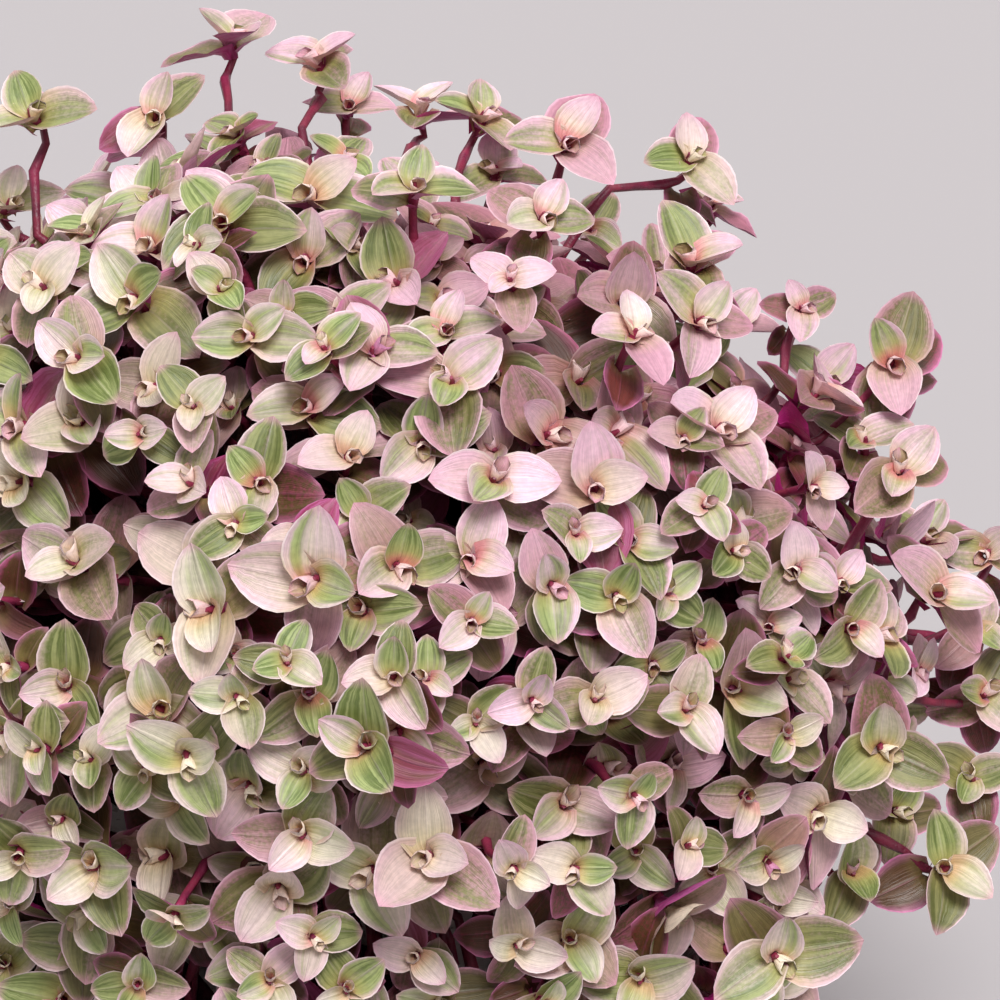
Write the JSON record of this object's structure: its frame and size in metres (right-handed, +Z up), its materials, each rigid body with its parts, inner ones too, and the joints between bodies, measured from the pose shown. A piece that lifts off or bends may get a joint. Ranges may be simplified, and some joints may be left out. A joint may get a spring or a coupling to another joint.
{
  "type": "turtle vine",
  "caption": "Dense round mound of small pink, cream and green variegated leaves on creeping stems, growing over the rim of a plain round pot.",
  "frame": {"origin": "centre of the underside of the pot's foot, on the surface that the pot stands on", "axes": "+Z up out of the pot; -Y is the front, the side that the picture shows; +X is to its right"},
  "size_m": [0.2392, 0.237, 0.2598],
  "materials": {
    "pot": "matt",
    "soil": "crumbly, damp",
    "leaf": "satin, slightly waxy"
  },
  "bodies": {
    "root": {"pot": "pot", "soil": "soil", "crown_spray_01": "leaf", "crown_spray_02": "leaf", "crown_spray_03": "leaf", "crown_spray_04": "leaf", "crown_spray_05": "leaf", "crown_spray_06": "leaf", "crown_spray_07": "leaf", "crown_spray_08": "leaf", "crown_spray_09": "leaf", "crown_spray_10": "leaf", "crown_spray_11": "leaf", "crown_spray_12": "leaf", "crown_spray_13": "leaf", "crown_spray_14": "leaf", "crown_spray_15": "leaf", "crown_spray_16": "leaf", "trailing_spray_01": "leaf", "trailing_spray_02": "leaf", "trailing_spray_03": "leaf", "trailing_spray_04": "leaf", "trailing_spray_05": "leaf", "trailing_spray_06": "leaf", "trailing_spray_07": "leaf", "trailing_spray_08": "leaf", "trailing_spray_09": "leaf", "trailing_spray_10": "leaf"}
  },
  "joints": []
}
